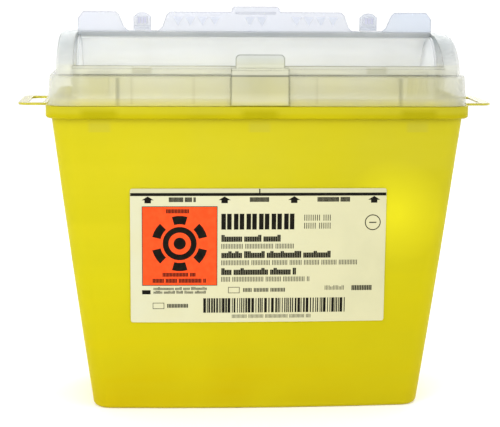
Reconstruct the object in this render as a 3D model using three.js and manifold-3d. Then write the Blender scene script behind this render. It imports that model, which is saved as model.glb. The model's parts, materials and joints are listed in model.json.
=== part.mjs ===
// A five-quart sharps container for a wall bracket: a translucent tub with a loop handle at
// each side, a frosted lid that snaps into the tub, and a drop drum that turns in the lid.
// Sharps are laid through the mouth on to the drum; pushing its flap tips them into the tub.
// Millimetres. +X is right, +Y is back towards the wall, +Z is up. The origin is the middle
// of the footprint, on the surface that the container stands on.
import * as THREE from "three";
import { mergeVertices } from "three/addons/utils/BufferGeometryUtils.js";
import Module from "manifold-3d";

const wasm = await Module();
wasm.setup();

// ---- Driving dimensions ------------------------------------------------------------------

const GAP = 0.4; // clearance between separate pieces
const PAST = 5; // how far a cutter runs past the face that it cuts

const TUB = {
  rimZ: 196.5, // underside of the flange
  lipZ: 209, // top of the lip inside the lid
  wall: 2,
  floor: 2.4,
  baseHalf: [110.2, 50.2], // half width and half depth at the base
  rimHalf: [135.6, 54.6], // and under the flange
  corner: 13,
  swell: 0.6, // the ends stand out this much half way up
  edge: 2.8, // radius round the underside
  bow: 3, // the front wall bulges this much at the base and not at all at the rim
  recess: { inset: 9, depth: 0.9 },
};

const FLANGE = { half: [139.2, 59], top: 204.5, wall: 1.6, corner: 15, edge: 1 };
const HANDLE = { reach: 159, half: 28.7, bar: 6.2, thickness: 1.6, corner: 7 };

// The lid snaps into the tub at three places along the front and three along the back.
const SNAP = {
  x: [-104, 0, 104],
  block: { half: 10, sink: 1, inset: 0.8 }, // stiffens the flange
  ridge: { half: 8, height: 2.2, sink: 0.6, proud: 0.45 }, // inside the tub's wall
  hook: { half: 6.5, outerY: 51.6, thickness: 1.6, length: 7 }, // reaches down from the lid
  barb: { height: 3, sink: 0.5, proud: 0.1 }, // on the hook, below the ridge
};

const LID = {
  wall: 1.7,
  lowHalf: [137.9, 58.2],
  stepHalf: [136.3, 57],
  stepZ: 224.6,
  corner: 14.5,
  edge: 1.6,
};

const HOOD = {
  half: 131.5,
  front: -53,
  back: 52,
  top: 249.6,
  backRadius: 6,
  wall: 1.8,
  endEdge: 1.2,
};

const MOUTH = {
  half: 120.5,
  sillZ: 230.6,
  roofY: -6.5,
  bead: { depth: 3, height: 1.7, proud: 0.3 }, // stiffens the roof's front edge
  wallBackY: 24,
  wallFoot: [[-43.5, 208], [-26, 202.5], [6, 202.5], [24, 222]], // (y, z) under the side walls
};
const FIN = { x: [-92, 92], half: 0.7, nearY: 54.2, farY: 56.6 }; // inside the skirt, front and back
const LEDGE = { backY: -42, drop: 2.5, thickness: 1.8 };
const CHUTE = { endY: -35, endZ: 207.5, thickness: 1.6 };

const DRUM = {
  axisY: -10.2,
  axisZ: 221.3,
  radius: 26.5,
  wall: 1.3,
  half: 117.5,
  lipAngle: THREE.MathUtils.degToRad(-145), // from +Y towards +Z, so below the front
  topAngle: THREE.MathUtils.degToRad(88),
  discThickness: 1.5,
  discGap: 0.3, // between the shell and the disc that closes its end
  pinRadius: 4,
  pinLength: 5,
  bossWall: 2.6, // round each pin's hole in the lid
  lipBead: 1.3,
};

const FLAP = {
  half: 119.5,
  frontY: -9.2,
  thickness: 1.8,
  baseZ: 248.3,
  notchZ: 251.3,
  topZ: 264,
  thumbZ: 267.6,
  thumbHalf: 16,
  thumbGroove: { half: 13.5, lowZ: 262.8, highZ: 263.9, depth: 0.9 },
  window: { innerFoot: 65.8, innerTop: 57.8, outerFoot: 86, outerTop: 94.5 }, // round each tab
  rib: { depth: 3.2, topZ: 250.9 },
};

const LOCK = {
  x: 76.5,
  half: 5.8,
  topZ: 263.5,
  barb: { half: 3.4, lowZ: 256, highZ: 260.8, length: 3 },
  grooves: [252.9, 254.3], // across the foot, where the tab bends
  groove: { height: 0.5, depth: 0.5, margin: 0.8 },
  slot: { half: 6.2, frontY: -51, backY: -43.6 },
};

const CATCH = {
  half: 18.9,
  thumbHalf: 16,
  lowZ: 205.3,
  shoulderZ: 229.6,
  topZ: 238.3,
  y: -58.2,
  thickness: 1.4,
  slit: 0.5, // the gap at each side
  backing: 1.5, // thickness of the lid's wall behind it
  bead: { half: 9, lowZ: 234.6, highZ: 235.6, proud: 0.4 }, // snaps over the flap's edge
};

const LABEL = { half: 84.6, low: 60.4, high: 150.6, thickness: 0.3, corner: 1.6 };

// ---- Materials ---------------------------------------------------------------------------

const yellowPlastic = new THREE.MeshStandardMaterial({
  color: 0xe3d722,
  roughness: 0.35,
  metalness: 0,
  transparent: true,
  opacity: 0.92,
});
const frostedPlastic = new THREE.MeshStandardMaterial({
  color: 0xe9ebe8,
  roughness: 0.4,
  metalness: 0,
  transparent: true,
  opacity: 0.6,
});
const labelFilm = new THREE.MeshStandardMaterial({ color: 0xf3f1cf, roughness: 0.55 });

// ---- Solids from geometry ----------------------------------------------------------------

// A closed geometry as a manifold-3d solid.
function solid(geometry) {
  const bare = geometry.clone();
  bare.deleteAttribute("normal");
  bare.deleteAttribute("uv");
  const merged = mergeVertices(bare, 1e-4);
  const mesh = new wasm.Mesh({
    numProp: 3,
    vertProperties: new Float32Array(merged.attributes.position.array),
    triVerts: new Uint32Array(merged.index.array),
  });
  return new wasm.Manifold(mesh);
}

function geometryOf(made) {
  const mesh = made.getMesh();
  const geometry = new THREE.BufferGeometry();
  geometry.setAttribute("position", new THREE.BufferAttribute(mesh.vertProperties, 3));
  geometry.setIndex(new THREE.BufferAttribute(mesh.triVerts, 1));
  geometry.computeVertexNormals();
  return geometry;
}

function join(...solids) {
  return solids.reduce((sum, next) => sum.add(next));
}

function box([x0, x1], [y0, y1], [z0, z1]) {
  const geometry = new THREE.BoxGeometry(x1 - x0, y1 - y0, z1 - z0);
  geometry.translate((x0 + x1) / 2, (y0 + y1) / 2, (z0 + z1) / 2);
  return solid(geometry);
}

const ALONG_X = new THREE.Matrix4().makeBasis(
  new THREE.Vector3(0, 1, 0),
  new THREE.Vector3(0, 0, 1),
  new THREE.Vector3(1, 0, 0),
);
const ALONG_MINUS_Y = new THREE.Matrix4().makeBasis(
  new THREE.Vector3(1, 0, 0),
  new THREE.Vector3(0, 0, 1),
  new THREE.Vector3(0, -1, 0),
);

// A side profile in (y, z), from x0 to x1, with rounded end edges if edge is given.
function extrudeX(profile, x0, x1, edge = 0) {
  const geometry = new THREE.ExtrudeGeometry(profile, {
    depth: x1 - x0 - 2 * edge,
    curveSegments: 12,
    bevelEnabled: edge > 0,
    bevelThickness: edge,
    bevelSize: edge,
    bevelOffset: -edge,
    bevelSegments: 2,
  });
  geometry.applyMatrix4(ALONG_X).translate(x0 + edge, 0, 0);
  return solid(geometry);
}

// A front outline in (x, z), from frontY back by thickness.
function plateY(outline, frontY, thickness) {
  const geometry = new THREE.ExtrudeGeometry(outline, {
    depth: thickness,
    curveSegments: 5,
    bevelEnabled: false,
  });
  geometry.applyMatrix4(ALONG_MINUS_Y).translate(0, frontY + thickness, 0);
  return solid(geometry);
}

// A plan outline in (x, y), from z0 to z1.
function plateZ(outline, z0, z1) {
  const geometry = new THREE.ExtrudeGeometry(outline, {
    depth: z1 - z0,
    curveSegments: 6,
    bevelEnabled: false,
  });
  geometry.translate(0, 0, z0);
  return solid(geometry);
}

function cylinderX(radius, x0, x1, y, z, segments = 32) {
  const geometry = new THREE.CylinderGeometry(radius, radius, x1 - x0, segments);
  geometry.rotateZ(-Math.PI / 2).translate((x0 + x1) / 2, y, z);
  return solid(geometry);
}

// The points of a closed outline without those that repeat the point before.
function distinct(points) {
  return points.filter((point, i) => point.distanceTo(points.at(i - 1)) > 1e-6);
}

function polygon(points) {
  return new THREE.Shape(points.map(([u, v]) => new THREE.Vector2(u, v)));
}

// A rectangle with round corners, between two opposite corners.
function roundedRectangle([u0, u1], [v0, v1], radius) {
  const shape = new THREE.Shape();
  shape.moveTo(u0 + radius, v0);
  shape.absarc(u1 - radius, v0 + radius, radius, -Math.PI / 2, 0);
  shape.absarc(u1 - radius, v1 - radius, radius, 0, Math.PI / 2);
  shape.absarc(u0 + radius, v1 - radius, radius, Math.PI / 2, Math.PI);
  shape.absarc(u0 + radius, v0 + radius, radius, Math.PI, 1.5 * Math.PI);
  return new THREE.Shape(distinct(shape.getPoints(4)));
}

// A plan outline with round corners, whose front side bulges by bow. Every outline has the
// same number of points, so that loft() can join any two.
function planOutline([halfWidth, halfDepth], corner, bow = 0) {
  const shape = new THREE.Shape();
  const [x, y] = [halfWidth - corner, halfDepth - corner];
  shape.moveTo(-x, -halfDepth);
  shape.quadraticCurveTo(0, -halfDepth - 2 * bow, x, -halfDepth);
  shape.absarc(x, -y, corner, -Math.PI / 2, 0);
  shape.absarc(x, y, corner, 0, Math.PI / 2);
  shape.absarc(-x, y, corner, Math.PI / 2, Math.PI);
  shape.absarc(-x, -y, corner, Math.PI, 1.5 * Math.PI);
  return distinct(shape.getPoints(5));
}

// Joins plan outlines, from the lowest to the highest, into one closed geometry.
function loft(rings) {
  const count = rings[0].outline.length;
  const positions = rings.flatMap(({ outline, z }) => outline.flatMap((p) => [p.x, p.y, z]));
  const faces = [];
  for (let ring = 0; ring + 1 < rings.length; ring++)
    for (let i = 0; i < count; i++) {
      const a = ring * count + i;
      const b = ring * count + ((i + 1) % count);
      faces.push(a, b, b + count, a, b + count, a + count);
    }
  const top = (rings.length - 1) * count;
  for (const [a, b, c] of THREE.ShapeUtils.triangulateShape(rings[0].outline, []))
    faces.push(c, b, a);
  for (const [a, b, c] of THREE.ShapeUtils.triangulateShape(rings.at(-1).outline, []))
    faces.push(top + a, top + b, top + c);
  const geometry = new THREE.BufferGeometry();
  geometry.setAttribute("position", new THREE.Float32BufferAttribute(positions, 3));
  geometry.setIndex(faces);
  return geometry;
}

function mesh(name, made, material) {
  const piece = new THREE.Mesh(geometryOf(made), material);
  piece.name = name;
  return piece;
}

// ---- Tub ---------------------------------------------------------------------------------

// The tub's wall at height z, grown outwards by grow; above the flange it stands upright.
function tubRing(z, grow = 0, edgeInset = 0) {
  const share = Math.min(z, TUB.rimZ) / TUB.rimZ;
  const half = [0, 1].map(
    (i) => THREE.MathUtils.lerp(TUB.baseHalf[i], TUB.rimHalf[i], share) + grow - edgeInset,
  );
  half[0] += TUB.swell * 4 * share * (1 - share);
  return { z, outline: planOutline(half, TUB.corner + grow - edgeInset, TUB.bow * (1 - share)) };
}

// The wall grown by grow, from the floor's round edge up to topZ.
function tubBlock(grow, floorZ, topZ) {
  const radius = TUB.edge + grow;
  const rings = [];
  for (let step = 0; step <= 4; step++) {
    const angle = (step / 4) * (Math.PI / 2);
    const z = floorZ + radius * (1 - Math.cos(angle));
    rings.push(tubRing(z, grow, radius * (1 - Math.sin(angle))));
  }
  for (const share of [0.25, 0.5, 0.75]) rings.push(tubRing(TUB.rimZ * share, grow));
  rings.push(tubRing(TUB.rimZ, grow), tubRing(topZ, grow));
  return solid(loft(rings));
}

// The band round the rim, hollow underneath.
function flange() {
  const outer = planOutline(FLANGE.half, FLANGE.corner);
  const inner = planOutline(
    FLANGE.half.map((half) => half - FLANGE.wall),
    FLANGE.corner - FLANGE.wall,
  );
  const lowest = planOutline(
    FLANGE.half.map((half) => half - FLANGE.edge),
    FLANGE.corner - FLANGE.edge,
  );
  const band = solid(
    loft([
      { z: TUB.rimZ, outline: lowest },
      { z: TUB.rimZ + FLANGE.edge, outline: outer },
      { z: FLANGE.top, outline: outer },
    ]),
  );
  const hollow = solid(
    loft([
      { z: TUB.rimZ - PAST, outline: inner },
      { z: FLANGE.top - FLANGE.wall, outline: inner },
    ]),
  );
  return band.subtract(hollow);
}

// Solids made for the back at each snap place, and their mirror images at the front.
function atSnaps(make) {
  const back = SNAP.x.map(make);
  return [...back, ...back.map((one) => one.mirror([0, 1, 0]))];
}

// The blocks that stiffen the flange where the lid snaps on.
function flangeBlocks() {
  const { half, sink, inset } = SNAP.block;
  const y = [TUB.rimHalf[1] - sink, FLANGE.half[1] - inset];
  const z = [TUB.rimZ + inset, FLANGE.top - sink];
  return atSnaps((x) => box([x - half, x + half], y, z));
}

// The ridges inside the tub that the lid's hooks catch on.
function catchRidges() {
  const { half, height, sink, proud } = SNAP.ridge;
  const wallY = TUB.rimHalf[1] - TUB.wall;
  const lowZ = TUB.rimZ - 1;
  return atSnaps((x) =>
    box([x - half, x + half], [wallY - proud, wallY + sink], [lowZ, lowZ + height]),
  );
}

// A flat loop on the flange's end, for fingers or the hook of a bracket.
function sideHandle(side) {
  const { reach, half, bar, corner, thickness } = HANDLE;
  const root = FLANGE.half[0] + GAP;
  const z = [FLANGE.top - 0.1 - thickness, FLANGE.top - 0.1];
  const outer = roundedRectangle([root - corner, reach], [-half, half], corner);
  const gap = roundedRectangle([root + bar / 2, reach - bar], [bar - half, half - bar], corner / 2);
  const cutZ = [z[0] - PAST, z[1] + PAST];
  const behindRoot = box([root - 2 * corner, root], [-half - PAST, half + PAST], cutZ);
  const loop = plateZ(outer, ...z).subtract(plateZ(gap, ...cutZ)).subtract(behindRoot);
  return side > 0 ? loop : loop.mirror([1, 0, 0]);
}

function tub() {
  const inside = tubBlock(-TUB.wall, TUB.floor, TUB.lipZ + PAST);
  const { inset, depth } = TUB.recess;
  const recessOutline = planOutline(
    TUB.baseHalf.map((half) => half - inset),
    TUB.corner - inset / 2,
  );
  const recess = solid(
    loft([
      { z: -PAST, outline: recessOutline },
      { z: depth, outline: recessOutline },
    ]),
  );
  const body = join(tubBlock(0, 0, TUB.lipZ), flange(), ...flangeBlocks());
  return body.subtract(inside).subtract(recess).add(join(...catchRidges()));
}

// The label follows the bowed front wall, a little clear of it.
function frontLabel() {
  const near = tubBlock(GAP - 0.1, 0, TUB.lipZ);
  const far = tubBlock(GAP - 0.1 + LABEL.thickness, -1, TUB.lipZ + 1);
  const outline = roundedRectangle(
    [-LABEL.half, LABEL.half],
    [LABEL.low, LABEL.high],
    LABEL.corner,
  );
  const frontOnly = plateY(outline, -FLANGE.half[1] - PAST, FLANGE.half[1]);
  return far.subtract(near).intersect(frontOnly);
}

// ---- Lid ---------------------------------------------------------------------------------

function skirtBlock(inset, lowZ, topZ) {
  const at = (z) => {
    const share = (z - FLANGE.top) / (LID.stepZ - FLANGE.top);
    return [0, 1].map(
      (i) => THREE.MathUtils.lerp(LID.lowHalf[i], LID.stepHalf[i], share) - inset,
    );
  };
  const corner = LID.corner - inset;
  const rings = [
    { z: lowZ, outline: planOutline(at(lowZ), corner) },
    { z: topZ - LID.edge, outline: planOutline(at(topZ - LID.edge), corner) },
  ];
  for (const angle of [Math.PI / 4, Math.PI / 2]) {
    const inward = LID.edge * (1 - Math.cos(angle));
    const z = topZ - LID.edge * (1 - Math.sin(angle));
    const half = at(z).map((value) => value - inward);
    rings.push({ z, outline: planOutline(half, corner - inward) });
  }
  return solid(loft(rings));
}

// The hood's side profile: an elliptical front, a flat roof and an upright back.
function hoodProfile(inset, lowZ) {
  const [front, back] = [HOOD.front + inset, HOOD.back - inset];
  const top = HOOD.top - inset;
  const radius = HOOD.backRadius - inset;
  const shape = new THREE.Shape();
  shape.moveTo(front, lowZ);
  shape.lineTo(front, LID.stepZ);
  shape.absellipse(0, LID.stepZ, -front, top - LID.stepZ, Math.PI, Math.PI / 2, true);
  shape.absarc(back - radius, top - radius, radius, Math.PI / 2, 0, true);
  shape.lineTo(back, lowZ);
  return shape;
}

// The wall at each side of the mouth, with the hole that the drum's pin turns in.
function mouthWall(side) {
  const [near, far] = [MOUTH.half, MOUTH.half + LID.wall];
  const span = (x0, x1) => (side > 0 ? [x0, x1] : [-x1, -x0]);
  const upper = extrudeX(hoodProfile(0.5, LID.stepZ - 1), ...span(near, far));
  const [reach, frontMost] = LID.lowHalf;
  const clip = box([-reach, reach], [-frontMost, MOUTH.wallBackY], [TUB.rimZ, FLAP.topZ]);
  const frontY = HOOD.front + 0.6;
  const lower = extrudeX(
    polygon([
      [frontY, LID.stepZ],
      ...MOUTH.wallFoot,
      [MOUTH.wallBackY, LID.stepZ + 2],
      [frontY, LID.stepZ + 2],
    ]),
    ...span(near, far),
  );
  const bossRadius = DRUM.pinRadius + GAP + DRUM.bossWall;
  const bossSpan = span(near + 0.2, far + 1.6);
  const boss = cylinderX(bossRadius, ...bossSpan, DRUM.axisY, DRUM.axisZ);
  const holeSpan = span(near - PAST, far + PAST);
  const hole = cylinderX(DRUM.pinRadius + GAP, ...holeSpan, DRUM.axisY, DRUM.axisZ);
  return join(upper.intersect(clip), lower, boss).subtract(hole);
}

// The ledge behind the sill slopes to the drum, and the chute carries on down to its lip.
function ledgeAndChute() {
  const sill = [HOOD.front + 0.5, MOUTH.sillZ];
  const bend = [LEDGE.backY, MOUTH.sillZ - LEDGE.drop];
  const under = LEDGE.thickness;
  const ledge = polygon([
    sill,
    bend,
    [bend[0], bend[1] - under],
    [sill[0], sill[1] - under],
  ]);
  const chute = polygon([
    bend,
    [CHUTE.endY, CHUTE.endZ],
    [CHUTE.endY - CHUTE.thickness, CHUTE.endZ],
    [bend[0] - CHUTE.thickness, bend[1] - 0.6],
  ]);
  const half = MOUTH.half + 0.6;
  return join(extrudeX(ledge, -half, half), extrudeX(chute, -half, half));
}

// The slots behind the sill that the lock tabs' barbs drop into.
function lockSlots() {
  const { half, frontY, backY } = LOCK.slot;
  return [-LOCK.x, LOCK.x].map((x) =>
    box([x - half, x + half], [frontY, backY], [MOUTH.sillZ - 8, MOUTH.sillZ + PAST]),
  );
}

// Hooks that reach down inside the tub, with a barb that catches below the tub's ridges.
function snapHooks() {
  const { half, outerY, thickness, length } = SNAP.hook;
  const { height, sink, proud } = SNAP.barb;
  const lowZ = TUB.rimZ - length;
  return atSnaps((x) => {
    const across = [x - half, x + half];
    const shank = box(across, [outerY - thickness, outerY], [lowZ, LID.stepZ + 2]);
    const barb = box(across, [outerY - sink, outerY + proud], [lowZ + 1, lowZ + 1 + height]);
    return shank.add(barb);
  });
}

// Upright fins inside the skirt that keep it square on the tub's lip.
function skirtFins() {
  const { half, nearY, farY } = FIN;
  const z = [TUB.lipZ + 0.6, LID.stepZ - 1];
  return FIN.x.flatMap((x) => [
    box([x - half, x + half], [-farY, -nearY], z),
    box([x - half, x + half], [nearY, farY], z),
  ]);
}

function lid() {
  const lowZ = FLANGE.top + GAP;
  const outer = skirtBlock(0, lowZ, LID.stepZ).add(
    extrudeX(hoodProfile(0, LID.stepZ - 4), -HOOD.half, HOOD.half, HOOD.endEdge),
  );
  const hoodHalf = HOOD.half - HOOD.wall;
  const inner = skirtBlock(LID.wall, lowZ - PAST, LID.stepZ - LID.wall).add(
    extrudeX(hoodProfile(HOOD.wall, lowZ - PAST), -hoodHalf, hoodHalf),
  );
  const mouth = box(
    [-MOUTH.half, MOUTH.half],
    [HOOD.front - PAST, MOUTH.roofY],
    [MOUTH.sillZ, HOOD.top + PAST],
  );
  const slit = CATCH.half + CATCH.slit;
  const behind = CATCH.y + CATCH.thickness + GAP;
  const catchRoom = box(
    [-slit, slit],
    [-LID.lowHalf[1] - PAST, behind],
    [lowZ - PAST, LID.stepZ + PAST],
  );
  const backing = box(
    [-slit - LID.wall, slit + LID.wall],
    [behind, behind + CATCH.backing],
    [lowZ, LID.stepZ - 1],
  );
  const beadTop = HOOD.top + MOUTH.bead.proud;
  const roofBead = box(
    [-MOUTH.half, MOUTH.half],
    [MOUTH.roofY, MOUTH.roofY + MOUTH.bead.depth],
    [beadTop - MOUTH.bead.height, beadTop],
  );
  return join(
    outer.subtract(inner).subtract(mouth).subtract(catchRoom),
    roofBead,
    backing,
    ledgeAndChute(),
    mouthWall(-1),
    mouthWall(1),
    ...snapHooks(),
    ...skirtFins(),
  ).subtract(join(...lockSlots()));
}

// A springy tongue in the lid's front that holds the drum's flap down for short closures.
function centreCatch() {
  const { half, thumbHalf, lowZ, shoulderZ, topZ, y, thickness, bead } = CATCH;
  const tongue = box([-half, half], [y, y + thickness], [lowZ, shoulderZ]);
  const thumb = plateY(
    roundedRectangle([-thumbHalf, thumbHalf], [shoulderZ - 6, topZ], 3),
    y,
    thickness,
  );
  const shoulder = box([-half, half], [y - 0.5, y + thickness], [shoulderZ - 1.4, shoulderZ]);
  const snap = box(
    [-bead.half, bead.half],
    [y + 0.5, y + thickness + bead.proud],
    [bead.lowZ, bead.highZ],
  );
  return join(tongue, thumb, shoulder, snap);
}

// ---- Drum --------------------------------------------------------------------------------

// The trough: a part-round shell from under the flap, round the back to the front lip.
function drumShell() {
  const { axisY, axisZ, radius, wall, topAngle, lipAngle, lipBead } = DRUM;
  const profile = new THREE.Shape();
  profile.absarc(axisY, axisZ, radius, topAngle, lipAngle, true);
  profile.absarc(axisY, axisZ, radius - wall, lipAngle, topAngle, false);
  const beadAt = radius - wall / 2;
  const bead = cylinderX(
    lipBead,
    -DRUM.half,
    DRUM.half,
    axisY + beadAt * Math.cos(lipAngle),
    axisZ + beadAt * Math.sin(lipAngle),
    12,
  );
  const geometry = new THREE.ExtrudeGeometry(profile, {
    depth: 2 * DRUM.half,
    curveSegments: 28,
    bevelEnabled: false,
  });
  geometry.applyMatrix4(ALONG_X).translate(-DRUM.half, 0, 0);
  return solid(geometry).add(bead);
}

// A disc that closes the drum's end, with the pin that it turns on.
function drumEnd(side) {
  const { axisY, axisZ, radius, half, discGap, discThickness, pinRadius, pinLength } = DRUM;
  const near = half + discGap;
  const span = (x0, x1) => (side > 0 ? [x0, x1] : [-x1, -x0]);
  const disc = cylinderX(radius, ...span(near, near + discThickness), axisY, axisZ, 48);
  const pinSpan = span(near + 0.5, near + discThickness + pinLength);
  return disc.add(cylinderX(pinRadius, ...pinSpan, axisY, axisZ));
}

// One side of the window round a lock tab, from the flap's top edge down to its foot.
function windowSide(top, foot) {
  const lean = Math.sign(foot - top);
  return [
    [top, FLAP.topZ],
    [top + 2.3 * lean, FLAP.topZ - 2],
    [foot - 2.8 * lean, FLAP.notchZ + 2.6],
    [foot, FLAP.notchZ],
  ];
}

// Half of the flap's outline, from the middle of its foot round to the middle of its top.
function flapHalfOutline() {
  const { half, baseZ, topZ, thumbZ, thumbHalf } = FLAP;
  const { innerFoot, innerTop, outerFoot, outerTop } = FLAP.window;
  return [
    [half, baseZ],
    [half, topZ - 4.5],
    [half - 3.5, topZ],
    ...windowSide(outerTop, outerFoot),
    ...windowSide(innerTop, innerFoot).reverse(),
    [thumbHalf + 0.8, topZ],
    [thumbHalf, topZ + 0.8],
    [thumbHalf, thumbZ - 1.4],
    [thumbHalf - 1.6, thumbZ],
  ];
}

// The flap that is pushed to turn the drum. A rib along its foot stiffens it.
function pushFlap() {
  const { baseZ, frontY, thickness, rib, thumbGroove } = FLAP;
  const right = flapHalfOutline();
  const left = right.map(([x, z]) => [-x, z]).reverse();
  const plate = plateY(polygon([...right, ...left]), frontY, thickness);
  const { half, lowZ, highZ, depth } = thumbGroove;
  const groove = box([-half, half], [frontY - PAST, frontY + depth], [lowZ, highZ]);
  const foot = box([-DRUM.half, DRUM.half], [frontY - rib.depth, frontY + 1], [baseZ, rib.topZ]);
  return plate.subtract(groove).add(foot);
}

// A house-shaped tab beside the flap's middle panel; its barb drops into the lid's slot.
function lockTab(side) {
  const x = side * LOCK.x;
  const { half, topZ, barb, groove } = LOCK;
  const lowZ = FLAP.notchZ + 0.35;
  const outline = polygon([
    [x - half, lowZ],
    [x + half, lowZ],
    [x + half, topZ - 2.8],
    [x + half - 3, topZ - 0.4],
    [x, topZ],
    [x - half + 3, topZ - 0.4],
    [x - half, topZ - 2.8],
  ]);
  const plate = plateY(outline, FLAP.frontY, FLAP.thickness);
  const cutHalf = half - groove.margin;
  const cutY = [FLAP.frontY - PAST, FLAP.frontY + groove.depth];
  const cuts = LOCK.grooves.map((z) =>
    box([x - cutHalf, x + cutHalf], cutY, [z, z + groove.height]),
  );
  const block = box(
    [x - barb.half, x + barb.half],
    [FLAP.frontY - barb.length, FLAP.frontY + groove.depth],
    [barb.lowZ, barb.highZ],
  );
  return plate.subtract(join(...cuts)).add(block);
}

// ---- Assembly ----------------------------------------------------------------------------

const container = new THREE.Group();
container.add(
  mesh("tub", tub(), yellowPlastic),
  mesh("side_handle_left", sideHandle(-1), yellowPlastic),
  mesh("side_handle_right", sideHandle(1), yellowPlastic),
  mesh("front_label", frontLabel(), labelFilm),
);

const lidGroup = new THREE.Group();
lidGroup.add(
  mesh("lid", lid(), frostedPlastic),
  mesh("centre_catch", centreCatch(), frostedPlastic),
);

const drumGroup = new THREE.Group();
drumGroup.add(
  mesh("drop_drum", drumShell(), frostedPlastic),
  mesh("push_flap", pushFlap(), frostedPlastic),
);
for (const [name, side] of [
  ["left", -1],
  ["right", 1],
]) {
  drumGroup.add(mesh(`drum_end_${name}`, drumEnd(side), frostedPlastic));
  drumGroup.add(mesh(`lock_tab_${name}`, lockTab(side), frostedPlastic));
}

lidGroup.add(drumGroup);
container.add(lidGroup);

export default container;
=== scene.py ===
"""The looks of a five-quart sharps container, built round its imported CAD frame.

Every CAD node gets a refined copy with rounded edges, which stands for it. The label's print
and the marks on the flap and lock tabs are thin raised meshes. The axes are those of the CAD:
the origin is in the middle of the foot, +X is to the right, +Y to the back and +Z up.
"""

import json
import math
import random

import bmesh
import bpy
from mathutils import Matrix, Vector
from mathutils.bvhtree import BVHTree


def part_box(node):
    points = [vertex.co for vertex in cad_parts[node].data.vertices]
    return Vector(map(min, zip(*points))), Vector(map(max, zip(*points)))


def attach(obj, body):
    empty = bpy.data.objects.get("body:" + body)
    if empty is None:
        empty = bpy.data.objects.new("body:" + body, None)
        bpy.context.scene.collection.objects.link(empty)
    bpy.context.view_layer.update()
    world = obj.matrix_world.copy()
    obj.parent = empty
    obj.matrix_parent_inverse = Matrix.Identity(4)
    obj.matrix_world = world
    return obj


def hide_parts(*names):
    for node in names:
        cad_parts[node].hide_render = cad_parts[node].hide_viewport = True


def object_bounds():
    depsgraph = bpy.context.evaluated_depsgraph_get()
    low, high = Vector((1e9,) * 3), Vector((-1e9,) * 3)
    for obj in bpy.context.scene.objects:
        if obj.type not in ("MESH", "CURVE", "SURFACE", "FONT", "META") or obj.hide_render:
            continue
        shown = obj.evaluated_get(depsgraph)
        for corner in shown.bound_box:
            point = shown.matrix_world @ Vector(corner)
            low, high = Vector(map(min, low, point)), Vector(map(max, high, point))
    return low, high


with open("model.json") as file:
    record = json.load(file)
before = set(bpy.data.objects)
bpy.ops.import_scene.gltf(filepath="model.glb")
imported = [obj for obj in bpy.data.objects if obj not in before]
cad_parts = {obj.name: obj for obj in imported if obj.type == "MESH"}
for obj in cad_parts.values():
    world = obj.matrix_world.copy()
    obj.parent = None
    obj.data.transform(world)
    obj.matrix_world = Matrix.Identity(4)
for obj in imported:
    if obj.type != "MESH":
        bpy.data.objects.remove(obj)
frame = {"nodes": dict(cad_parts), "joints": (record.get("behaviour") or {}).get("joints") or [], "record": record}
cad_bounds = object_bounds()

MM = 0.001

# Places along X that the looks share, in millimetres.
SNAPS = (-104, 0, 104)  # where the lid snaps into the tub
LOCKS = (-76.5, 76.5)  # the lock tabs, and the slots that they enter
FINS = (-92, 92)  # inside the lid's skirt
RIBS = (-83, -43, 37)  # fainter than the fins, and only a shade

SHARP = math.radians(40)  # edges that turn more than this are rounded
FLAT = math.radians(0.05)  # faces that turn less than this are joined
TILE = 6.0  # largest tile of print in millimetres, so that it follows the bowed film

# ---- Shader nodes ------------------------------------------------------------------------


def linear(red, green, blue):
    """An sRGB colour of 0 to 255 as a linear RGBA."""

    def channel(value):
        value /= 255
        return value / 12.92 if value <= 0.04045 else ((value + 0.055) / 1.055) ** 2.4

    return (channel(red), channel(green), channel(blue), 1.0)


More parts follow.
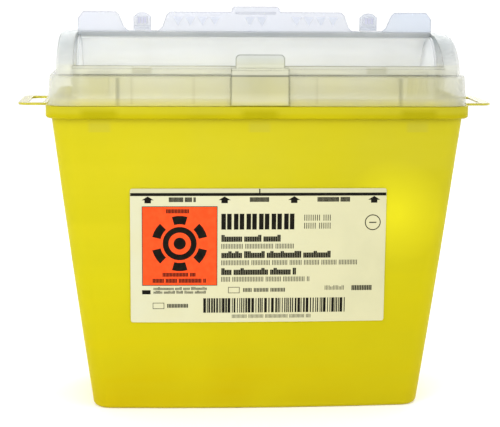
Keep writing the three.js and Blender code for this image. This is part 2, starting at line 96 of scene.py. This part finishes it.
class Shader:
    """One material with a Principled shader, and short ways to feed it."""

    def __init__(self, name, **values):
        self.material = bpy.data.materials.new(name)
        self.material.use_nodes = True
        self.tree = self.material.node_tree
        self.surface = self.tree.nodes["Principled BSDF"]
        self.place = self.node("ShaderNodeTexCoord").outputs["Object"]
        for socket, value in values.items():
            self.surface.inputs[socket.replace("_", " ")].default_value = value

    def node(self, kind, inputs=None, **settings):
        made = self.tree.nodes.new(kind)
        for name, value in settings.items():
            setattr(made, name, value)
        for name, value in (inputs or {}).items():
            if isinstance(value, bpy.types.NodeSocket):
                self.tree.links.new(value, made.inputs[name])
            else:
                made.inputs[name].default_value = value
        return made

    def feed(self, socket, source):
        self.tree.links.new(source, self.surface.inputs[socket])

    # Values

    def arithmetic(self, operation, first, second=0.0):
        inputs = {0: first, 1: second}
        return self.node("ShaderNodeMath", inputs, operation=operation).outputs[0]

    def times(self, first, second):
        return self.arithmetic("MULTIPLY", first, second)

    def between(self, value, from_range, to_range):
        inputs = {
            "Value": value,
            "From Min": from_range[0],
            "From Max": from_range[1],
            "To Min": to_range[0],
            "To Max": to_range[1],
        }
        return self.node("ShaderNodeMapRange", inputs).outputs["Result"]

    def axis(self, letter):
        return self.node("ShaderNodeSeparateXYZ", {"Vector": self.place}).outputs[letter]

    def along(self, letter, start, end, to_range=(0, 1)):
        """Runs through `to_range` between two places on an axis, in millimetres."""
        return self.between(self.axis(letter), (start * MM, end * MM), to_range)

    def outward(self, start, end, to_range=(0, 1)):
        """Runs through `to_range` from the middle towards both sides, in millimetres."""
        distance = self.arithmetic("ABSOLUTE", self.axis("X"))
        return self.between(distance, (start * MM, end * MM), to_range)

    def distance(self, centre, across=(1, 1, 1)):
        """How far from a point, or from the line through it along the axis that is 0."""
        away = self.node("ShaderNodeVectorMath", {0: self.place, 1: centre}, operation="SUBTRACT")
        inputs = {0: away.outputs[0], 1: across}
        flat = self.node("ShaderNodeVectorMath", inputs, operation="MULTIPLY")
        length = self.node("ShaderNodeVectorMath", {0: flat.outputs[0]}, operation="LENGTH")
        return length.outputs["Value"]

    def noise(self, scale, detail=3.0, stretch=(1, 1, 1)):
        """Noise whose features are about 1 / scale metres across."""
        place = self.node("ShaderNodeMapping", {"Vector": self.place, "Scale": stretch})
        inputs = {"Vector": place.outputs[0], "Scale": scale, "Detail": detail}
        return self.node("ShaderNodeTexNoise", inputs).outputs["Fac"]

    def cloud(self, share, *noise):
        """Soft patches, from 0 to `share`."""
        return self.between(self.noise(*noise), (0.35, 0.65), (0, share))

    # Masks, in millimetres

    def columns(self, centres, reach, fade):
        """1 within `reach` of each centre along X, falling to 0 over `fade`."""
        width = 280  # wider than the lid
        stops = []
        for x in centres:
            middle = 0.5 + x / width
            near, far = reach / width, (reach + fade) / width
            stops += [
                (middle - far, 0),
                (middle - near, 1),
                (middle + near, 1),
                (middle + far, 0),
            ]
        across = self.along("X", -width / 2, width / 2)
        return self.ramp(across, [(at, (value, value, value, 1)) for at, value in stops])

    def layer(self, low, high, fade):
        """1 between two heights, with a crisp foot and a softer top."""
        crisp = 0.6
        below_top = self.along("Z", high, high - fade)
        above_foot = self.along("Z", low - crisp, low)
        return self.times(below_top, above_foot)

    def blocks(self, centres, reach, side_fade, low, high, top_fade):
        """1 in a block round each centre, between two heights."""
        columns = self.columns(centres, reach, side_fade)
        return self.times(columns, self.layer(low, high, top_fade))

    def edges(self, radius):
        """1 along sharp edges and 0 on the flats between them."""
        softened = self.node("ShaderNodeBevel", {"Radius": radius}, samples=6).outputs["Normal"]
        flat = self.node("ShaderNodeNewGeometry").outputs["Normal"]
        inputs = {0: softened, 1: flat}
        likeness = self.node("ShaderNodeVectorMath", inputs, operation="DOT_PRODUCT")
        return self.between(likeness.outputs["Value"], (0.8, 0.98), (1, 0))

    # Colours

    def ramp(self, value, stops):
        made = self.node("ShaderNodeValToRGB", {"Fac": value})
        elements = made.color_ramp.elements
        while len(elements) < len(stops):
            elements.new(0.5)
        for element, (position, colour) in zip(elements, stops):
            element.position = position
            element.color = colour
        return made.outputs["Color"]

    def by_height(self, stops):
        """Blends between colours, each given at a height in millimetres."""
        low, high = stops[0][0], stops[-1][0]
        height = self.along("Z", low, high)
        return self.ramp(height, [((z - low) / (high - low), colour) for z, colour in stops])

    def mixed(self, share, first, second, blend="MIX"):
        made = self.node("ShaderNodeMix", data_type="RGBA", blend_type=blend)
        factor, a, b = made.inputs[0], made.inputs[6], made.inputs[7]
        for socket, value in ((factor, share), (a, first), (b, second)):
            if isinstance(value, bpy.types.NodeSocket):
                self.tree.links.new(value, socket)
            else:
                socket.default_value = value
        return made.outputs[2]

    def away_from_key(self, colour):
        """A little darker towards the right, away from the key light."""
        darkest = (0.88, 0.88, 0.88, 1)
        return self.mixed(self.along("X", -80, 140), colour, darkest, "MULTIPLY")

    # Finish

    def roughness(self, scale, smooth, rough):
        self.feed("Roughness", self.between(self.noise(scale), (0.3, 0.7), (smooth, rough)))

    def bump(self, *layers):
        """Each layer is a height, its strength and the height in metres that 1 stands for."""
        normal = None
        for height, strength, distance in layers:
            inputs = {"Height": height, "Strength": strength, "Distance": distance}
            if normal:
                inputs["Normal"] = normal
            normal = self.node("ShaderNodeBump", inputs).outputs["Normal"]
        self.feed("Normal", normal)


# ---- Materials ---------------------------------------------------------------------------


def tub_plastic(name, polish):
    """Translucent yellow polypropylene, deeper near the foot, with painted shade and a painted highlight round the
    flange, and more painted light and shade on the wall.
    """
    made = Shader(
        name,
        IOR=1.25,
        Specular_IOR_Level=0.05,
        Transmission_Weight=0.35,
        Coat_Weight=polish,
        Coat_Roughness=0.12,
    )
    colour = made.by_height(
        [
            (0.0, linear(217, 194, 0)),
            (33.44, linear(221, 203, 0)),
            (87.78, linear(226, 215, 16)),
            (167.2, linear(222, 212, 44)),
            (195.62, linear(222, 212, 44)),
            (196.88, linear(196, 183, 0)),  # painted shade under the flange
            (198.97, linear(197, 185, 0)),
            (201.06, linear(209, 200, 54)),  # painted highlight on the flange's upper half
        ]
    )
    streaks_along_z = (0.2, 0.2, 2.2)
    colour = made.mixed(made.cloud(0.5, 16, 2), colour, linear(227, 214, 12))
    colour = made.mixed(made.cloud(0.4, 26, 2, streaks_along_z), colour, linear(216, 207, 20))
    # Painted shade where the lid's snap hooks stand behind the tub's wall.
    hook_shade = made.times(made.blocks(SNAPS, 6, 2, 188, 195.5, 3), 0.35)
    colour = made.mixed(hook_shade, colour, linear(204, 196, 74))
    # Painted shade of the catch blocks behind the flange's front at each snap.
    flange_block_shade = made.times(made.blocks(SNAPS, 9, 5, 196.5, 204, 3.5), 0.85)
    colour = made.mixed(flange_block_shade, colour, linear(192, 181, 0))
    # Painted light: a lighter patch right of the label, in place of light in the translucent wall.
    bright_patch = made.distance((90.5 * MM, -54 * MM, 134 * MM))
    glow = made.between(bright_patch, (4 * MM, 36 * MM), (0.85, 0))
    colour = made.mixed(glow, colour, linear(252, 243, 34))
    made.feed("Base Color", made.away_from_key(colour))
    made.roughness(60, 0.36, 0.48)
    flow = made.noise(14, 2, (1, 1, 0.35))
    grain = made.noise(1500, 2)
    made.bump((flow, 0.25, 2 * MM), (grain, 0.12, 0.15 * MM))
    return made.material


def frosted_plastic(
    name, stops, *, clearness, edge_width, edges_above, painted_edge_shade, end_tone, end_cloud, paint_light_and_shade
):
    """Clear polypropylene with a fine frosting. Its sharp edges are darkened with painted shade, and a function
    given for each use adds its own painted light and shade.
    """
    made = Shader(
        name, IOR=1.35, Transmission_Weight=0.35, Specular_IOR_Level=0.25, Alpha=1 - clearness
    )
    below_roof = made.along("Z", 234, 246.5, (0.7, 0.1))
    at_ends = made.times(made.outward(112, 132), below_roof)
    colour = made.mixed(at_ends, made.by_height(stops), end_tone)
    colour = made.mixed(made.cloud(0.3, 26, 2), colour, linear(214, 216, 214))
    # Painted shade along the sharp edges, from edges_above upwards.
    off_the_seat = made.along("Z", edges_above, edges_above + 1.5, (0.15, 1))
    edge = made.times(made.edges(edge_width * MM), off_the_seat)
    colour = made.mixed(edge, paint_light_and_shade(made, colour), painted_edge_shade)
    made.feed("Base Color", made.away_from_key(colour))
    alpha = made.between(edge, (0, 1), (1 - clearness, 0.95))
    near_roof = made.along("Z", 236, 247.5)
    clouding = made.times(near_roof, made.outward(112, 128, (0, end_cloud)))
    made.feed("Alpha", made.arithmetic("ADD", alpha, clouding))
    made.roughness(80, 0.3, 0.42)
    flow = made.noise(18, 2, (0.4, 1, 1))
    grain = made.noise(1800, 2)
    made.bump((flow, 0.2, 1.5 * MM), (grain, 0.15, 0.12 * MM))
    return made


def lid_plastic(name, clearness, above_sill, edge_width):
    """Yellow shows through the skirt from the tub; the hood is a cool white."""
    stops = [
        (204.0, linear(226, 228, 214)),  # the hooks, below the skirt
        (204.8, linear(250, 245, 140)),  # the skirt, on the yellow flange
        (208.5, linear(246, 243, 202)),
        (214.0, linear(226, 222, 169)),
        (223.7, linear(224, 221, 174)),
        (224.2, linear(130, 130, 104)),  # painted shade along the step over the skirt
        (224.8, linear(130, 130, 104)),
        (225.3, linear(237, 236, 210)),  # the sill's front
        (230.6, linear(240, 240, 216)),
        (232.0, above_sill),
        (240.0, linear(214, 220, 224)),
        (245.0, linear(198, 207, 211)),
        (248.2, linear(184, 193, 194)),  # the roof's front edge
    ]
    return frosted_plastic(
        name,
        stops,
        clearness=clearness,
        edge_width=edge_width,
        edges_above=205,
        painted_edge_shade=linear(88, 90, 76),
        end_tone=linear(228, 231, 226),
        end_cloud=0.4,
        paint_light_and_shade=painted_shade_behind_lid,
    ).material


def painted_shade_behind_lid(made, colour):
    """Painted shade where each fin, rib and slot shows dimly through the lid."""
    fin_shade = made.times(made.blocks(FINS, 0.5, 1.2, 205.5, 223.7, 1), 0.42)
    colour = made.mixed(fin_shade, colour, linear(140, 140, 108))
    rib_shade = made.times(made.blocks(RIBS, 0.3, 1, 206.5, 223.7, 1), 0.2)
    colour = made.mixed(rib_shade, colour, linear(140, 140, 100))
    slot_shade = made.times(made.blocks(LOCKS, 6, 1, 225.8, 230.6, 1), 0.5)
    return made.mixed(slot_shade, colour, linear(176, 176, 140))


def drum_plastic():
    """Whiter than the lid. The trough's inside gives off a little light of its own: painted light in place of
    light that soaks through the hood.
    """
    stops = [
        (195.0, linear(246, 247, 244)),
        (232.0, linear(246, 248, 248)),
        (246.8, linear(244, 246, 248)),
        (247.8, linear(152, 158, 160)),  # painted shade on the drum's top edge, under the roof
        (250.8, linear(176, 182, 186)),
        (251.4, linear(216, 221, 234)),  # the flap, above the roof
        (267.6, linear(216, 220, 233)),
    ]
    made = frosted_plastic(
        "drum_plastic",
        stops,
        clearness=0.5,
        edge_width=1,
        edges_above=195,
        painted_edge_shade=linear(110, 116, 134),
        end_tone=linear(226, 230, 238),
        end_cloud=0,
        paint_light_and_shade=painted_cool_right_end,
    )
    turn = next(joint for joint in frame["joints"] if joint["name"] == "drum_turn")
    # Painted light: emission inside the drum's wall, none outside it.
    from_axis = made.distance(turn["pos_m"], (0, 1, 1))
    outside = made.between(from_axis, (25.5 * MM, 26.1 * MM), (0, 1))
    made.feed("Emission Color", made.mixed(outside, linear(242, 245, 250), (0, 0, 0, 1)))
    made.surface.inputs["Emission Strength"].default_value = 0.3
    return made.material


def painted_cool_right_end(made, colour):
    """Painted light: the flap's right end picks up a blue tone."""
    on_flap = made.along("Z", 250.8, 251.4, (0, 0.6))
    to_right = made.along("X", 60, 100)
    return made.mixed(made.times(on_flap, to_right), colour, linear(196, 212, 234))


def label_film():
    """Cream film, darker above the fill line, with painted shade towards its right end, faintly mottled where the
    tub shows through.
    """
    made = Shader("label_film", Specular_IOR_Level=0.2)
    low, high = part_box("front_label")
    # Painted shade: the film gets darker towards its right end.
    shade_by_width = made.ramp(
        made.between(made.axis("X"), (low.x, high.x), (0, 1)),
        [(0.0, linear(204, 203, 172)), (0.5, linear(206, 203, 166)), (1.0, linear(193, 190, 152))],
    )
    mottled = made.mixed(made.cloud(0.6, 45), shade_by_width, linear(204, 200, 161))
    above_fill_line = made.along("Z", 146.8, 147.8, (0, 0.7))
    made.feed("Base Color", made.mixed(above_fill_line, mottled, linear(190, 187, 148)))
    made.roughness(120, 0.42, 0.55)
    made.bump((made.noise(900, 3), 0.1, 0.1 * MM))
    return made.material


def ink(name, colour, worn):
    """Printing ink, a little uneven in density."""
    made = Shader(name, Specular_IOR_Level=0.06)
    made.feed("Base Color", made.mixed(made.cloud(1, 260, 4), colour, worn))
    made.roughness(500, 0.45, 0.6)
    made.bump((made.noise(2500, 2), 0.08, 0.05 * MM))
    return made.material


def raised_plastic():
    """The flap's plastic where its marks make it thicker, so darker."""
    made = Shader("raised_plastic", Specular_IOR_Level=0.3)
    colour = made.mixed(made.cloud(1, 60), linear(209, 213, 226), linear(202, 207, 220))
    made.feed("Base Color", colour)
    made.roughness(80, 0.3, 0.42)
    made.bump((made.noise(1800, 2), 0.15, 0.12 * MM))
    return made.material


def floor_paper():
    made = Shader("floor_paper", Roughness=0.9, Specular_IOR_Level=0.0, Emission_Strength=0.15)
    cloud = made.between(made.noise(4), (0.3, 0.7), (0, 1))
    made.feed("Base Color", made.mixed(cloud, (0.93, 0.93, 0.93, 1), (0.96, 0.96, 0.96, 1)))
    return made.material


# ---- Meshes ------------------------------------------------------------------------------


def body_of(node):
    bodies = frame["record"]["behaviour"]["bodies"]
    return next(body for body, members in bodies.items() if node in members)


def slot_of(node):
    subparts = frame["record"]["subparts"]
    return next(part["material_slot"] for part in subparts if part["node"] == node)


def new_piece(name, mesh, material, node):
    """A piece that rides with a CAD node and takes the given material."""
    piece = bpy.data.objects.new(name, mesh)
    bpy.context.scene.collection.objects.link(piece)
    mesh.materials.clear()
    mesh.materials.append(material)
    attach(piece, body_of(node))
    return piece


def refined(node, material, edge, weld, shortest):
    """A copy of a CAD node with its sharp edges rounded, which stands for that node. Edges
    under the shortest length stay sharp, because rounding them would fold the mesh."""
    mesh = frame["nodes"][node].data.copy()
    mesh.name = node + "_skin"
    shape = bmesh.new()
    shape.from_mesh(mesh)
    bmesh.ops.remove_doubles(shape, verts=shape.verts, dist=weld)
    bmesh.ops.dissolve_limit(shape, angle_limit=FLAT, verts=shape.verts, edges=shape.edges)
    sharp = [
        line
        for line in shape.edges
        if line.calc_face_angle() > SHARP and line.calc_length() >= shortest
    ]
    bmesh.ops.bevel(
        shape,
        geom=sharp,
        offset=edge,
        offset_type="OFFSET",
        segments=2,
        profile=0.5,
        affect="EDGES",
    )
    bmesh.ops.dissolve_degenerate(shape, edges=shape.edges, dist=0.0005 * MM)
    shape.to_mesh(mesh)
    shape.free()
    mesh.polygons.foreach_set("use_smooth", [True] * len(mesh.polygons))
    piece = new_piece(node + "_skin", mesh, material, node)
    weighted = piece.modifiers.new("weighted normals", "WEIGHTED_NORMAL")
    weighted.keep_sharp = True
    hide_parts(node)


class Relief:
    """Thin raised shapes on the front of a node, laid out in millimetres: x from the middle,
    z from the surface that the container stands on."""

    def __init__(self, name, node, material, height, sink=0.0):
        self.name = name
        self.node = node
        self.material = material
        self.height = height * MM
        self.sink = sink * MM
        self.shape = bmesh.new()
        mesh = frame["nodes"][node].data
        points = [vertex.co.copy() for vertex in mesh.vertices]
        faces = [tuple(polygon.vertices) for polygon in mesh.polygons]
        self.surface = BVHTree.FromPolygons(points, faces)

    def front(self, x, z):
        """Where the node's front surface is, found from one metre in front of it."""
        hit = self.surface.ray_cast(Vector((x * MM, -1, z * MM)), Vector((0, 1, 0)))[0]
        return hit.y

    def pair(self, x, z):
        """A vertex in front of the surface, and one on it or just behind it."""
        y = self.front(x, z)
        near = self.shape.verts.new((x * MM, y - self.height, z * MM))
        far = self.shape.verts.new((x * MM, y + self.sink, z * MM))
        return near, far

    def outline(self, points):
        """A closed shape, as a fan round the middle of its box."""
        across, up = zip(*points)
        middle = ((min(across) + max(across)) / 2, (min(up) + max(up)) / 2)
        near_middle, far_middle = self.pair(*middle)
        rim = [self.pair(x, z) for x, z in points]
        for (near, far), (next_near, next_far) in zip(rim, rim[1:] + rim[:1]):
            self.shape.faces.new((near_middle, near, next_near))
            self.shape.faces.new((far_middle, next_far, far))
            self.shape.faces.new((next_near, near, far, next_far))

    def patch(self, rows, closed=False):
        """A closed slab through rows of points. With `closed` each row runs round a ring."""
        grid = [[self.pair(x, z) for x, z in row] for row in rows]
        places = list(range(len(rows[0])))
        steps = list(zip(places, places[1:] + places[:1]))
        if not closed:
            steps.pop()
        for row, above in zip(grid, grid[1:]):
            for i, j in steps:
                self.shape.faces.new((row[i][0], row[j][0], above[j][0], above[i][0]))
                self.shape.faces.new((above[i][1], above[j][1], row[j][1], row[i][1]))
            for end in () if closed else (0, -1):
                self.shape.faces.new((row[end][0], above[end][0], above[end][1], row[end][1]))
        for row in (grid[0], grid[-1]):
            for i, j in steps:
                self.shape.faces.new((row[i][0], row[j][0], row[j][1], row[i][1]))

    def bar(self, x0, x1, z0, z1):
        across = math.ceil((x1 - x0) / TILE)
        up = math.ceil((z1 - z0) / TILE)
        xs = [x0 + (x1 - x0) * i / across for i in range(across + 1)]
        zs = [z0 + (z1 - z0) * i / up for i in range(up + 1)]
        self.patch([[(x, z) for x in xs] for z in zs])

    def box(self, x0, x1, z0, z1, line=0.35):
        """The outline of a rectangle, as one closed frame."""
        across = math.ceil((x1 - x0) / TILE)
        up = math.ceil((z1 - z0) / TILE)

        def loop(inset):
            left, right, low, high = x0 + inset, x1 - inset, z0 + inset, z1 - inset
            corners = [(left, low), (right, low), (right, high), (left, high)]
            sides = zip(corners, corners[1:] + corners[:1], (across, up, across, up))
            return [
                (xa + (xb - xa) * i / parts, za + (zb - za) * i / parts)
                for (xa, za), (xb, zb), parts in sides
                for i in range(parts)
            ]

        self.patch([loop(line), loop(0)], closed=True)

    def ring(self, x, z, inner, outer, start=0, end=360):
        """A ring, or part of one between two angles in degrees."""
        steps = round((end - start) / 12)
        whole = end - start == 360
        turns = [math.radians(start + (end - start) * i / steps) for i in range(steps + 1 - whole)]
        rows = [
            [(x + radius * math.cos(turn), z + radius * math.sin(turn)) for turn in turns]
            for radius in (inner, outer)
        ]
        self.patch(rows, closed=whole)

    def disc(self, x, z, radius):
        turns = [2 * math.pi * i / 32 for i in range(32)]
        self.outline([(x + radius * math.cos(turn), z + radius * math.sin(turn)) for turn in turns])

    def greeked(self, x0, x1, z0, z1, draw, pitch=2.1, weight=0.4, capitals=True):
        """A row of upright strokes in word-like groups, which stands for a line of print.
        `weight` is the share of the row that is ink. Without capitals some strokes are short."""
        stroke = pitch / 2 * weight
        x = x0
        word = draw.randint(3, 10)
        while x + pitch <= x1:
            short = not capitals and draw.random() < 0.6
            top = z0 + 0.76 * (z1 - z0) if short else z1
            self.bar(x, x + stroke, z0, top)
            self.bar(x + pitch / 2, x + pitch / 2 + stroke, z0, top)
            x += pitch
            word -= 1
            if word == 0:
                x += 0.55 * pitch
                word = draw.randint(3, 10)

    def done(self):
        bmesh.ops.recalc_face_normals(self.shape, faces=self.shape.faces)
        mesh = bpy.data.meshes.new(self.name)
        self.shape.to_mesh(mesh)
        self.shape.free()
        new_piece(self.name, mesh, self.material, self.node)


# ---- Label print -------------------------------------------------------------------------


def orange_square(orange, black, draw):
    """The square, and on it a plain ring with a dot, short rays and three lines of print."""
    square = (-76.9, -27.3, 85.5, 138.8)
    field = Relief("print_orange_square", "front_label", orange, 0.08)
    field.bar(*square)
    field.done()

    mark = Relief("print_ring_mark", "front_label", black, 0.13)
    x, z = -52.1, 113.9
    mark.disc(x, z, 4)
    mark.ring(x, z, 7.4, 11.2)
    for angle in range(0, 360, 60):
        mark.ring(x, z, 13, 18.6, angle + 14, angle + 46)
    mark.box(*square, line=0.4)
    rows = ((-61, -43, 134.2, 136.9), (-63.4, -40, 91.6, 94.2), (-70, -34, 87.4, 90.2))
    for row in rows:
        mark.greeked(*row, draw, 1.9, 0.72)
    mark.done()


def fill_line(page, draw):
    """The line across the label that shows when the container is full, with arrows to it."""
    foot, top = 145.7, 147.7
    page.bar(-84.4, 84.4, foot, top)
    page.bar(0.1, 0.9, top, 150.4)
    head, shaft = 4.0, 2.1
    arrow_foot, neck, tip = 140.9, 142.9, 145.4
    for x in (-73.0, -22.6, 23.3, 76.4):
        page.outline(
            [
                (x - shaft, arrow_foot),
                (x + shaft, arrow_foot),
                (x + shaft, neck),
                (x + head, neck),
                (x, tip),
                (x - head, neck),
                (x - shaft, neck),
            ]
        )
    for x0, x1 in ((-59.2, -40.4), (-6, 7), (38.7, 61.4)):
        page.greeked(x0, x1, 141.7, 144.8, draw, 1.6, 0.84)


def large_word(page):
    """Pairs of heavy strokes in place of the large word."""
    stroke, apart, pitch = 3.0, 3.8, 8.3
    for pair in range(6):
        x = -24.7 + pitch * pair
        page.bar(x, x + stroke, 123.2, 133.8)
        page.bar(x + apart, x + apart + stroke, 123.2, 133.8)


def main_text(page, draw):
    """Two short rows beside the large word, and bold and light rows in turn below it."""
    for z0, z1 in ((129.0, 133.0), (123.6, 127.6)):
        page.greeked(30.2, 50.5, z0, z1, draw, 2.8, 0.34)
    left = -24.6
    for right, z0 in ((15.9, 115.0), (48.8, 104.0), (25.4, 92.6)):
        page.greeked(left, right, z0, z0 + 4.6, draw, 2.3, 0.88, capitals=False)
    for right, z0 in ((25.3, 110.3), (68.5, 99.2), (36.4, 88.0)):
        page.greeked(left, right, z0, z0 + 3.3, draw, 2.1, 0.42)


def small_print(page, draw):
    """The circle with a dash, the boxed signs and the small rows."""
    page.ring(75.8, 127.7, 4.7, 5.3)
    page.bar(73.4, 78.2, 127.3, 128.0)
    page.box(-20, -12.4, 80.2, 84.4)
    page.box(-70, -62.4, 69.6, 73.8)
    page.greeked(-10, 19.7, 81.0, 83.6, draw, 2.0, 0.62)
    page.greeked(-60.4, -44.6, 70.4, 73.0, draw, 2.0, 0.7)
    page.greeked(44.5, 59, 82, 85, draw, 1.9, 0.4, capitals=False)
    page.greeked(62.5, 76.5, 81.6, 85, draw, 2.3, 0.75)
    page.bar(-77, -71.4, 79.6, 82.4)
    for z0 in (82.5, 80.0):
        page.greeked(-69.4, -33.4, z0, z0 + 2, draw, 1.5, 0.6, capitals=False)
    page.greeked(-17.4, 36.4, 63.2, 65.6, draw, 1.7, 0.42)


def code_bars(page, draw):
    """Upright bars of random widths, which encode nothing."""
    x = -36.5
    while x < 58:
        width = draw.choice((0.6, 0.8, 1.2, 1.8))
        page.bar(x, x + width, 66.9, 76.8)
        x += width + draw.choice((0.4, 0.6, 1.0))


def label_print():
    draw = random.Random(7)
    black = ink("black_ink", linear(14, 13, 9), linear(26, 24, 17))
    orange = ink("orange_ink", linear(248, 84, 36), linear(240, 76, 30))
    orange_square(orange, black, draw)
    page = Relief("print_lines", "front_label", black, 0.05)
    fill_line(page, draw)
    large_word(page)
    main_text(page, draw)
    small_print(page, draw)
    code_bars(page, draw)
    page.done()


# ---- Raised marks on the flap and lock tabs ----------------------------------------------


def flap_marks():
    """A row of raised triangles that shows which way the flap goes."""
    marks = Relief("flap_arrow_marks", "push_flap", raised_plastic(), 0.2)
    top, half, drop, pitch = 260.8, 3.2, 5.8, 8.3
    for first, count in ((-52.5, 4), (-4.15, 2), (27.6, 4)):
        for number in range(count):
            x = first + pitch * number
            marks.outline([(x - half, top), (x, top - drop), (x + half, top)])
    marks.done()


def grip_marks():
    """Three upright bars on each lock tab's barb."""
    shade = ink("grip_shade", linear(180, 181, 201), linear(190, 191, 209))
    half = 0.75
    for node, middle in zip(("lock_tab_left", "lock_tab_right"), LOCKS):
        marks = Relief(node + "_bars", node, shade, 0.2, 0.1)
        for x in (middle - 2, middle, middle + 2):
            marks.bar(x - half, x + half, 256.5, 260.3)
        marks.done()


# ---- Stage, lights and camera ------------------------------------------------------------


def stage():
    half, z = 40, cad_bounds[0][2]
    corners = [(-half, -half, z), (half, -half, z), (half, half, z), (-half, half, z)]
    mesh = bpy.data.meshes.new("floor")
    mesh.from_pydata(corners, [], [(0, 1, 2, 3)])
    floor = bpy.data.objects.new("floor", mesh)
    bpy.context.scene.collection.objects.link(floor)
    floor.data.materials.append(floor_paper())


def area_light(name, position, size, power):
    """A soft rectangular light that points at the middle of the object."""
    middle = Vector((0, 0, 0.14))
    data = bpy.data.lights.new(name, "AREA")
    data.shape = "RECTANGLE"
    data.size, data.size_y = size
    data.energy = power
    lamp = bpy.data.objects.new(name, data)
    lamp.location = position
    lamp.rotation_euler = (middle - Vector(position)).to_track_quat("-Z", "Y").to_euler()
    bpy.context.scene.collection.objects.link(lamp)


def lights():
    world = bpy.data.worlds.new("studio")
    bpy.context.scene.world = world
    world.use_nodes = True
    background = world.node_tree.nodes["Background"].inputs
    background["Color"].default_value = (1, 1, 1, 1)
    background["Strength"].default_value = 1.0
    area_light("key", (-0.9, -1.1, 1.0), (0.9, 0.9), 8)
    area_light("fill", (1.1, -0.9, 0.6), (0.8, 0.8), 3.6)
    area_light("back", (0.3, 1.2, 0.8), (1.2, 0.9), 9)


def camera():
    """A long lens, a little above the lid and slightly to the left of square on."""
    turn, tilt, roll = math.radians(3.59), math.radians(9.69), math.radians(0.41)
    sideways, back, up = -2.4 * MM, -0.98, 0.2919
    data = bpy.data.cameras.new("camera")
    data.sensor_width = 36
    data.lens = 102.6
    made = bpy.data.objects.new("camera", data)
    place = Matrix.Translation((sideways, back, up))
    aim = Matrix.Rotation(math.pi / 2 - tilt, 4, "X") @ Matrix.Rotation(roll, 4, "Z")
    made.matrix_world = Matrix.Rotation(-turn, 4, "Z") @ place @ aim
    bpy.context.scene.collection.objects.link(made)
    bpy.context.scene.camera = made


# ---- Assembly ----------------------------------------------------------------------------


def skins():
    """A refined copy of each node, with its slot's plastic or one of its own."""
    plastics = {
        "tub_plastic": tub_plastic("tub_plastic", polish=0.0),
        "lid_plastic": lid_plastic("lid_plastic", 0.58, linear(218, 223, 224), edge_width=1),
        "drum_plastic": drum_plastic(),
        "label_film": label_film(),
    }
    polished = tub_plastic("handle_plastic", polish=1.0)
    special = {
        "side_handle_left": polished,
        "side_handle_right": polished,
        "centre_catch": lid_plastic("catch_plastic", 0.45, linear(208, 209, 180), edge_width=2),
    }
    # Widths of the rounding in millimetres, smaller where a node has small features.
    edges = {
        "tub": 0.12,
        "front_label": 0.08,
        "lid": 0.12,
        "push_flap": 0.15,
        "lock_tab_left": 0.2,
        "lock_tab_right": 0.2,
        "centre_catch": 0.2,
    }
    for part in frame["record"]["subparts"]:
        node = part["node"]
        material = special.get(node, plastics[slot_of(node)])
        edge = edges.get(node, 0.3) * MM
        weld, shortest = (0.01 * MM, 0.4 * MM) if node == "lid" else (0.004 * MM, 0)
        refined(node, material, edge, weld, shortest)


skins()
label_print()
flap_marks()
grip_marks()
stage()
lights()
camera()
bpy.context.scene.view_settings.view_transform = "Standard"
